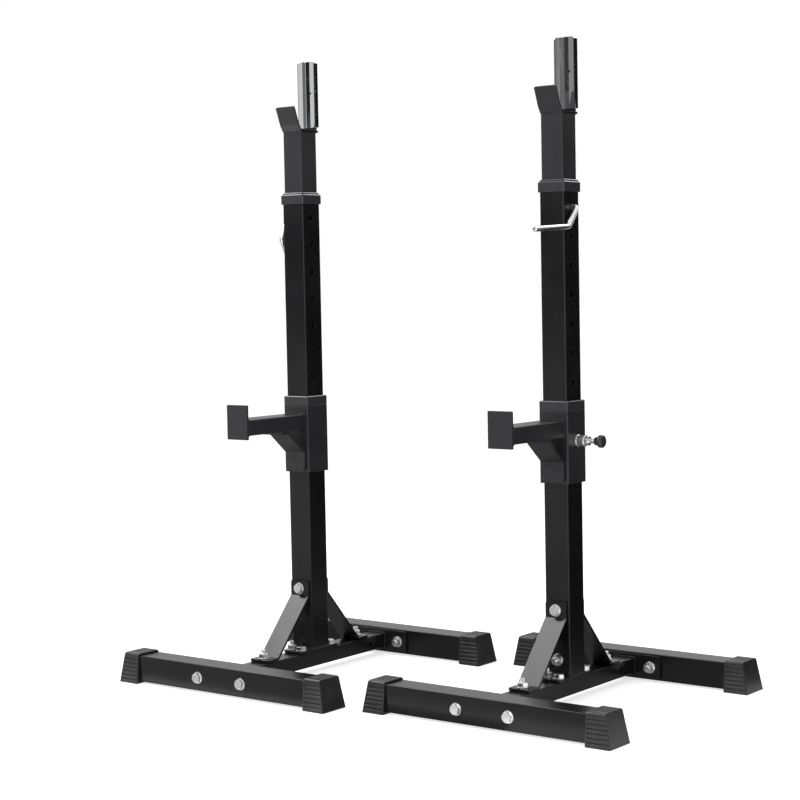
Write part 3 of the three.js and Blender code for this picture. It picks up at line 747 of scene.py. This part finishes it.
def dress_foot(node, body, tube):
    """A rubber boot: ribs run along its front, back and top; its outer end is smooth and leans in."""
    low, high, middle = span(node)
    tube_low, tube_high, tube_middle = span(tube)
    outward = 1 if middle.x > tube_middle.x else -1
    inner_x, outer_x = (low.x, high.x) if outward > 0 else (high.x, low.x)
    height = high.z
    bottom_half = (high.y - low.y) / 2
    top_half, lean, corner = bottom_half - 5 * MM, 11 * MM, 5 * MM
    groove_depth, side_ribs, top_ribs = 2.6 * MM, 7, 5
    shoulder, ridge = height - corner, top_half - corner

    def ribbed(start, end, ribs, depth):
        """Round-backed ribs between narrow grooves, along one edge of the section."""
        start, end = Vector(start), Vector(end)
        run = end - start
        sink = Vector((-run.y, run.x)).normalized() * depth
        profile = ((0.0, 0.9), (0.04, 0.3), (0.14, 0.0), (0.5, 0.0), (0.7, 0.35), (0.77, 1.0), (0.97, 1.0))
        points = []
        for rib in range(ribs):
            for share, fall in profile:
                first, last = rib == 0 and share < 0.14, rib == ribs - 1 and share > 0.5
                fall = 0 if first or last else fall
                points.append(start + run * ((rib + share) / ribs) + sink * fall)
        return [tuple(point) for point in points]

    def section(depth):
        return [
            *ribbed((bottom_half, 0), (top_half, shoulder), side_ribs, depth),
            *arc(ridge, shoulder, corner, 10, 70, 4),
            *ribbed((ridge, height), (-ridge, height), top_ribs, depth),
            *arc(-ridge, shoulder, corner, 100, 70, 4),
            *ribbed((-top_half, shoulder), (-bottom_half, 0), side_ribs, depth),
            (-bottom_half, 0),
        ]

    smooth, grooved = section(0), section(groove_depth)
    half = height / 2
    end_face = [(y * 0.95, half + (z - half) * (0.96 if z > 0.2 * MM else 1.0)) for y, z in smooth]

    def ring(outline, inset):
        """A section ring that leans with the outer end; inset 1 lies at the end, 0 at the boot's mouth."""
        points = []
        for y, z in outline:
            end = outer_x - outward * lean * (z / height)
            points.append(Vector((inner_x + (end - inner_x) * inset, middle.y + y, z)))
        return points

    mouth = [Vector((inner_x, middle.y + y * 0.985, 0.3 * MM + z * 0.985)) for y, z in smooth]
    pocket_side = tube_high.z - tube_low.z + 2 * FIT
    pocket_end = (tube_high.x if outward > 0 else tube_low.x) + outward * FIT
    rings = [mouth, ring(smooth, 0.03), ring(smooth, 0.08), ring(grooved, 0.1), ring(grooved, 0.96)]
    shell = skin(([*rings, ring(smooth, 0.975), ring(end_face, 1.0)], False))
    outline = rounded(pocket_side, pocket_side, TUBE_CORNER)
    pocket = bar("x", outline, inner_x - outward * 4 * MM, pocket_end, tube_middle)
    piece(node + "_rubber", body, rubber, carve(shell, pocket), [node], 0.3 * MM, 40)


def dress_brace(side, end, front, body, middle):
    node = f"{side}_{end}_brace"
    low, high, _ = span(node)
    foot, face = (low.y, high.y) if front < 0 else (high.y, low.y)
    fastener = f"{side}_{end}_brace_bolt"
    at = span(fastener)[2]
    upper_knee = span(f"{side}_brace_through_bolt")[2].z - 15 * MM
    points = [
        Vector((middle.x, foot, low.z)),
        Vector((middle.x, at.y - front * 18 * MM, low.z)),
        Vector((middle.x, face, upper_knee)),
        Vector((middle.x, face, high.z)),
    ]
    out = Y_AXIS * front + Z_AXIS
    flat = flat_bar(points, out, high.x - low.x, FLAT_THICKNESS, 8 * MM, (4.5 * MM, 4.5 * MM))
    piece(node + "_steel", body, coat, flat, [node], 0.9 * MM)
    at.z = low.z + FLAT_THICKNESS
    piece(fastener + "_zinc", body, zinc, stud(at, Z_AXIS, 0.1), [fastener], FINE_EDGE)


# ---------------------------------------------------------------- collar, inner post and cradle
def ring_stack(levels, middle):
    """A closed sleeve from (side, corner, height) levels, outer then inner, joined in order."""
    rings = [placed(rounded(side, side, corner), "z", at, middle) for side, corner, at in levels]
    return skin((rings, True))


def dress_collar(side):
    node = f"{side}_upper_collar"
    low, high, middle = span(node)
    tube_low, tube_high, _ = span(f"{side}_upright")
    band = high.x - low.x
    tube = tube_high.x - tube_low.x
    rim, bore, throat = tube + MM, tube + 2 * FIT, tube - 4 * MM
    step = tube_high.z + FIT
    shape = ring_stack(
        [
            (band - 0.8 * MM, 3 * MM, low.z),
            (band, 3 * MM, low.z + 0.8 * MM),
            (band, 3 * MM, step - 1.4 * MM),
            (band - 3.2 * MM, 3 * MM, step + FIT),
            (rim, 2.5 * MM, step + FIT),
            (rim, 2.5 * MM, high.z - 1.5 * MM),
            (rim - 3 * MM, 2 * MM, high.z),
            (throat, 2 * MM, high.z),
            (throat, 2 * MM, step),
            (bore, 2 * MM, step),
            (bore, 2 * MM, low.z),
        ],
        middle,
    )
    piece(node + "_plastic", "frames", plastic, shape, [node], FINE_EDGE)


def dress_post(side):
    body = f"{side}_post"
    node = f"{side}_inner_post"
    low, high, _ = span(node)
    middle = span(f"{side}_upright")[2]
    guard_low, guard_high, _ = span(f"{side}_back_guard")
    size = high.x - low.x
    saddle = guard_low.z - 6 * MM
    under = saddle - CRADLE_THICKNESS
    tube = box_tube("z", (size, size), TUBE_CORNER, TUBE_WALL, low.z, saddle - CRADLE_THICKNESS / 2, middle)
    lowest = Vector((middle.x, middle.y, CARRIAGE_HEIGHT - PIN_HOLE_PITCH))
    tube = drilled(tube, lowest, POST_HOLES, PIN_HOLE_RADIUS, 2 * size)
    piece(node + "_steel", body, satin_coat, tube, [node])

    # Cradle: one bent plate makes saddle and lip, a straight plate stands behind
    half, toe, toe_rise, lip_rise = size / 2, 8 * MM, 9 * MM, 42 * MM
    lip_points = [
        Vector((middle.x, high.y, under)),
        Vector((middle.x, middle.y - half, under)),
        Vector((middle.x, middle.y - half - toe, saddle + toe_rise)),
        Vector((middle.x, low.y, saddle + lip_rise)),
    ]
    lip = flat_bar(lip_points, Z_AXIS, size, CRADLE_THICKNESS, 5 * MM, (0.3 * MM, 2.5 * MM))
    outline = oblong(BACK_PLATE_WIDTH / 2, under, guard_high.z - GUARD_WALL - 2 * FIT)
    plate = bar("y", outline, high.y - CRADLE_THICKNESS, high.y, Vector((middle.x, 0, 0)))
    piece(f"{side}_cradle_steel", body, satin_coat, [lip, plate], edge=0.5 * MM)
    around = placed(rounded(size + 0.6 * MM, size + 0.6 * MM, TUBE_CORNER), "z", under - 0.4 * MM, middle)
    behind = [point for point in around if point.y > middle.y + half - TUBE_CORNER]
    seam(f"{side}_saddle_weld", body, behind, 1.5 * MM, 1.6 * MM)


def dress_guard(side):
    """The chromed channel on the back plate, with a low ridge down its front."""
    body = f"{side}_post"
    node = f"{side}_back_guard"
    low, high, middle = span(node)
    half = (high.x - low.x) / 2
    crown, corner, top_round = 1.1 * MM, 3 * MM, 4 * MM
    rib_middle, rib_half, rib_crest, crease = 0.5 * MM, 9 * MM, 1.2 * MM, 0.25 * MM
    crest_steps = [rib_crest * (i / 4 - 1) for i in range(9)]

    def section(share):
        """Two flat lands with a low ridge between them, and round outer corners."""
        across, front = half * share, low.y + crown
        face = [(-across + corner, front), (rib_middle - rib_half - crease, front)]
        near, far = rib_crest + crease, rib_half - crease
        for x in (-far, -near, *crest_steps, near, far):
            flank = crown * (1 - abs(x) / rib_half)
            crest = crown * (1 - (x * x + rib_crest**2) / (2 * rib_crest * rib_half))
            face.append((rib_middle + x, front - (crest if abs(x) < rib_crest else flank)))
        face += [(rib_middle + rib_half + crease, front), (across - corner, front)]
        right = arc(across - corner, front + corner, corner, -90, 90)[1:]
        left = [(-x, y) for x, y in reversed(right)]
        return [(-across, high.y), *left, *face, *right, (across, high.y)]

    levels = [(low.z, 1.0)]
    levels += [(z, x / half) for x, z in arc(half - top_round, high.z - top_round, top_round, 0, 90)]
    rings = [[Vector((middle.x + x, y, z)) for x, y in section(share)] for z, share in levels]
    plate_face = span(f"{side}_inner_post")[1].y - CRADLE_THICKNESS
    outline = oblong(BACK_PLATE_WIDTH / 2 + FIT, plate_face - FIT, high.y + 4 * MM)
    slot = bar("z", outline, low.z - 4 * MM, high.z - GUARD_WALL, Vector((middle.x, 0, 0)))
    piece(node + "_chrome", body, chrome, carve(skin((rings, False)), slot), [node], 0.3 * MM, 40)
    rivet_base = Vector((middle.x + 10.2 * MM, low.y + crown, low.z + 66 * MM))
    rivet = [(2.6 * MM, 0.4 * MM), (2.4 * MM, -0.1 * MM), (1.4 * MM, -0.35 * MM), (0, -0.42 * MM)]
    piece(f"{side}_guard_rivet", body, coat, turned(rivet, rivet_base, Y_AXIS, 20), edge=0)


# ---------------------------------------------------------------- lock pin
def dress_lock_pin(side, outward):
    """A bent rod: its straight end stops just inside the upright's wall, with an arm outside the tubes, and
    a handle turned back from it.
    """
    node = f"{side}_lock_pin"
    low, high, middle = span(f"{side}_upright")
    half = (high.x - low.x) / 2
    middle.z = CARRIAGE_HEIGHT + (PIN_HOLES - 1) * PIN_HOLE_PITCH
    swivel = math.radians(ROD_SWIVEL[side])
    turn = swivel - outward * math.radians(ROD_FOLD)
    tip = middle + X_AXIS * outward * (half - 1.6 * MM)
    knee = middle + X_AXIS * outward * (half + 12 * MM)
    elbow = knee + Vector((0, math.cos(swivel), math.sin(swivel))) * ROD_ARM
    end = elbow + Vector((0, math.cos(turn), math.sin(turn))) * ROD_HANDLE
    rod = round_bar([tip, knee, elbow, end], ROD_RADIUS, ROD_BENDS)
    piece(node + "_zinc", node, zinc, rod, [node], edge=0, smooth=50)


# ---------------------------------------------------------------- carriage with its arm and pop pin
def dress_carriage(side, outward):
    body = f"{side}_carriage"
    node = f"{side}_sleeve"
    low, high, middle = span(node)
    size = high.x - low.x
    sleeve = box_tube("z", (size, size), SLEEVE_CORNER, SLEEVE_WALL, low.z, high.z, middle)
    piece(node + "_steel", body, satin_coat, sleeve, [node])

    node = f"{side}_sleeve_liner"
    top = span(node)[1].z
    rim = high.z + FIT
    skirt = size - 2 * SLEEVE_WALL - 2 * FIT
    bore = skirt - 2 * LINER_WALL
    liner = ring_stack(
        [
            (skirt, LINER_CORNER, low.z),
            (skirt, LINER_CORNER, rim),
            (size, SLEEVE_CORNER, rim),
            (size, SLEEVE_CORNER, top - 1.5 * MM),
            (size - 3 * MM, LINER_CORNER, top),
            (bore, LINER_CORNER, top),
            (bore, LINER_CORNER, low.z),
        ],
        middle,
    )
    piece(node + "_plastic", body, plastic, liner, [node], FINE_EDGE)

    # Arm and end plate, with a weld seam at each end of the arm
    node = f"{side}_spotter_arm"
    low, high, arm_middle = span(node)
    width, height = high.x - low.x, high.z - low.z
    arm = box_tube("y", (width, height), TUBE_CORNER, BEAM_WALL, low.y, high.y, arm_middle)
    piece(node + "_steel", body, satin_coat, arm, [node])
    inner_y, outer_y = high.y - 0.4 * MM, low.y + 0.4 * MM
    around = rounded(width - MM, height + MM, TUBE_CORNER)
    seam_round(f"{side}_arm_weld", body, around, "y", inner_y, arm_middle, radius=2 * MM, spacing=2 * MM)
    node = f"{side}_end_plate"
    low, high, middle_of_plate = span(node)
    outline = rounded(high.x - low.x, high.z - low.z, 1.5 * MM)
    piece(node + "_steel", body, satin_coat, bar("y", outline, low.y, high.y, middle_of_plate), [node])
    seam_round(node + "_weld", body, around, "y", outer_y, arm_middle, radius=1.8 * MM, spacing=1.9 * MM)

    # Strut: a bent flat bar, held by a slotted screw
    node = f"{side}_strut"
    low, high, _ = span(node)
    tab, knee = 22 * MM, 38 * MM
    strut_points = [
        Vector((middle.x, low.y, high.z)),
        Vector((middle.x, low.y + tab, high.z)),
        Vector((middle.x, high.y, low.z + knee)),
        Vector((middle.x, high.y, low.z)),
    ]
    out = -Z_AXIS - Y_AXIS
    strut = flat_bar(strut_points, out, high.x - low.x, FLAT_THICKNESS, 10 * MM, (0.3 * MM, 8 * MM))
    piece(node + "_steel", body, satin_coat, strut, [node], 0.6 * MM)
    at = Vector((middle.x - 5 * MM, high.y - FLAT_THICKNESS, low.z + 23 * MM))
    head = turned([(4 * MM, -0.5 * MM), (4 * MM, 0.5 * MM), (3.2 * MM, 1.1 * MM)], at, -Y_AXIS, 24)
    slot = oblong(0.6 * MM, at.y - 3.5 * MM, at.y - 0.4 * MM)
    slot = bar("z", slot, at.z - 6 * MM, at.z + 6 * MM, Vector((at.x, 0, 0)))
    piece(f"{side}_strut_screw", body, plastic, carve(head, slot), edge=0.15 * MM)
    dress_pop_pin(side, outward, body)


def dress_pop_pin(side, outward, carriage):
    """Housing on the sleeve, plunger, and knob; the housing's thread and the plunger's spring are not
    drawn.
    """
    way = X_AXIS * outward
    node = f"{side}_pop_pin_body"
    low, high, base = span(node)
    length = high.x - low.x
    radius = (high.z - low.z) / 2
    base.x = low.x if outward > 0 else high.x
    bore, nose, shoulder = 4.9 * MM, 8.5 * MM, length - 8 * MM
    housing = [
        (bore, 0), (radius, 0), (radius, 4 * MM), (radius - MM, 4.4 * MM), (radius - MM, shoulder),
        (nose, shoulder), (nose, length - 0.6 * MM), (nose - 0.5 * MM, length), (bore, length),
    ]
    ring = turned(housing, base, way, 36, closed=True)
    piece(node + "_zinc", carriage, zinc, ring, [node], FINE_EDGE)

    node = f"{side}_pop_pin_plunger"
    body = f"{side}_pop_pin"
    low, high, _ = span(node)
    length = high.x - low.x
    base.x = low.x if outward > 0 else high.x
    knob = length - 17 * MM
    shaft = [(3.2 * MM, 0), (4.5 * MM, 1.5 * MM), (4.5 * MM, knob + 2 * MM)]
    piece(f"{side}_pop_pin_shaft", body, zinc, turned(shaft, base, way, 28), edge=0)
    grip = [
        (7.0, 0), (7.5, 0.5), (7.5, 4.5), (9, 7), (11.2, 8.5), (11.5, 9.5),
        (11.5, 13.8), (11.0, 15.2), (9.6, 16.4), (7, 16.9), (0, 17),
    ]
    grip = [(across * MM, knob + along * MM) for across, along in grip]
    piece(node + "_knob", body, plastic, turned(grip, base, way, 40), [node], edge=0, smooth=50)


for side, outward in SIDES.items():
    dress_base(side)
    dress_collar(side)
    dress_post(side)
    dress_guard(side)
    dress_lock_pin(side, outward)
    dress_carriage(side, outward)


# ---------------------------------------------------------------- stage and light
def background_rays(tree):
    """1 for rays that show the background: straight from the camera, mirrored or refracted."""
    rays = tree.nodes.new("ShaderNodeLightPath").outputs
    total = rays["Is Camera Ray"]
    for name in ("Is Glossy Ray", "Is Transmission Ray"):
        total = grow(tree, "ShaderNodeMath", {"operation": "MAXIMUM"}, {0: total, 1: rays[name]})
    return total


def make_floor_paper():
    """Pale paper that shows as white, and still takes the shadow of what stands on it."""
    finish = Finish("pale_paper")
    mottle = finish.noise(4, 2)
    colour = finish.blend(mottle, (0.80, 0.80, 0.80), (0.82, 0.82, 0.82))
    matt = finish.node("BsdfDiffuse", {}, {"Color": colour})
    glow = finish.node("Emission", {}, {"Color": (1, 1, 1, 1), "Strength": PAPER_GLOW})
    dark = finish.node("Emission", {}, {"Color": (1, 1, 1, 1), "Strength": 0.0})
    extra = finish.node("MixShader", {}, {0: Wire(finish, background_rays(finish.tree)), 1: dark, 2: glow})
    return finish.dressed(finish.node("AddShader", {}, {0: matt, 1: extra}))


def make_world():
    """White where the background is seen, and a dim cool room for every other ray."""
    world = bpy.data.worlds.new("studio")
    bpy.context.scene.world = world
    world.use_nodes = True
    tree = world.node_tree
    tree.nodes.clear()
    bright = grow(tree, "ShaderNodeBackground", {}, {"Color": (1, 1, 1, 1)})
    dim = grow(tree, "ShaderNodeBackground", {}, {"Color": (0.95, 0.96, 1, 1), "Strength": ROOM_LIGHT})
    mix = grow(tree, "ShaderNodeMixShader", {}, {0: background_rays(tree), 1: dim, 2: bright})
    tree.links.new(mix, tree.nodes.new("ShaderNodeOutputWorld").inputs[0])


def stand_board(name, outline, material):
    """A flat board of the studio, from its corners."""
    board = bpy.data.meshes.new(name)
    board.from_pydata(outline, [], [(0, 1, 2, 3)])
    board.materials.append(material)
    made = put(name, board)
    return made


def painted_reflection_card(shade):
    """Card that glows evenly at a grey shade, lit by no lamp: a painted reflection, for it shows only in
    mirrors.
    """
    finish = Finish("studio_card")
    return finish.dressed(finish.node("Emission", {}, {"Color": (shade, shade, shade, 1), "Strength": 1.0}))


def show_in_mirrors_only(board):
    """Bright metal and gloss paint mirror the card, and it is seen nowhere else."""
    board.visible_camera = board.visible_diffuse = board.visible_shadow = False


def stand_card(name, distance, sweep, heights, shade):
    """An upright card that fills a sweep of directions, in degrees, at a distance from the set's middle."""
    (first, last), (bottom, top) = sweep, heights
    corners = []
    for direction, height in ((first, bottom), (last, bottom), (last, top), (first, top)):
        turn = math.radians(direction)
        corners.append((distance * math.cos(turn), distance * math.sin(turn), height))
    show_in_mirrors_only(stand_board(name, corners, painted_reflection_card(shade)))


def hang_lamp(name, at, aim, size, watts):
    data = bpy.data.lights.new(name, "AREA")
    data.shape = "RECTANGLE"
    data.size, data.size_y = size
    data.energy = watts
    lamp = put(name, data)
    at, aim = Vector(at), Vector(aim)
    lamp.matrix_world = Matrix.Translation(at) @ (aim - at).to_track_quat("-Z", "Y").to_matrix().to_4x4()


FLOOR_REACH, PAPER_GLOW, ROOM_LIGHT = 40, 0.7, 0.5
make_world()
stand_board(
    "floor",
    [(x * FLOOR_REACH, y * FLOOR_REACH, 0) for x, y in ((-1, -1), (1, -1), (1, 1), (-1, 1))],
    make_floor_paper(),
)
# Glowing cards seen only in mirrors: painted reflections. The near black ones paint dark surroundings and
# the grey ones pale surroundings; the high cards, sector by sector, paint the stripes on the chrome.
for name, distance, sweep, heights, shade in (
    ("back_right", 5, (28, 79), (0.0, 1.95), 0.006),
    ("back", 3, (98, 152), (0.2, 1.1), 0.72),
    ("front_wall", 2.2, (212, 262), (0.0, 0.6), 0.66),
    ("camera_side", 2.3, (267, 322), (1.2, 1.8), 0.01),
    ("right", 2.3, (322, 388), (1.2, 1.8), 0.01),
    ("rear", 2.3, (79, 138), (1.2, 1.8), 0.01),
    ("left", 2.3, (138, 199), (1.2, 1.8), 0.01),
    ("low_front", 2.2, (212, 262), (0.6, 1.04), 0.02),
    ("first_high", 2.2, (200, 218), (1.2, 1.8), 0.15),
    ("second_high", 2.2, (218, 227.5), (1.2, 1.8), 0.64),
    ("third_high", 2.2, (227.5, 234.5), (1.2, 1.8), 0.1),
    ("fourth_high", 2.2, (234.5, 241.5), (1.2, 1.8), 0.015),
    ("fifth_high", 2.2, (241.5, 251), (1.2, 1.8), 0.26),
    ("sixth_high", 2.2, (251, 267), (1.2, 1.8), 0.04),
):
    stand_card(f"{name}_card", distance, sweep, heights, shade)
# Flat glowing cards seen only in mirrors: painted reflections. The floor cards paint a dimmer floor into
# reflections, the middle one painted shade under and behind the stands; the overhead card glows at five
# times white, a painted highlight on the upper rims of collars and liners.
for name, height, shade, corners in (
    ("middle_floor", 0.002, 0.3, ((-1.4, -0.3), (0.3, -0.3), (0.6, 0.6), (-1.0, 0.9))),
    ("front_floor", 0.003, 0.5, ((-0.65, -0.33), (-1.9, -1.5), (0.1, -2.2), (0.62, -0.33))),
    ("right_floor", 0.004, 0.01, ((0.95, 0.0), (4.5, 2.3), (1.1, 4.9), (0.0, 1.0))),
    ("overhead", 2.5, 5, ((-0.6, 1.2), (1.1, 1.2), (1.1, 2.7), (-0.6, 2.7))),
):
    outline = [(x, y, height) for x, y in corners]
    show_in_mirrors_only(stand_board(f"{name}_card", outline, painted_reflection_card(shade)))
hang_lamp("overhead_softbox", (-1.82, -0.57, 2.44), (0, -0.1, 0.1), (1.9, 1.5), 60)
hang_lamp("front_softbox", (0.6, -3.4, 1.6), (0, 0, 0.6), (1.4, 1.8), 30)

bpy.context.scene.view_settings.view_transform = "Standard"
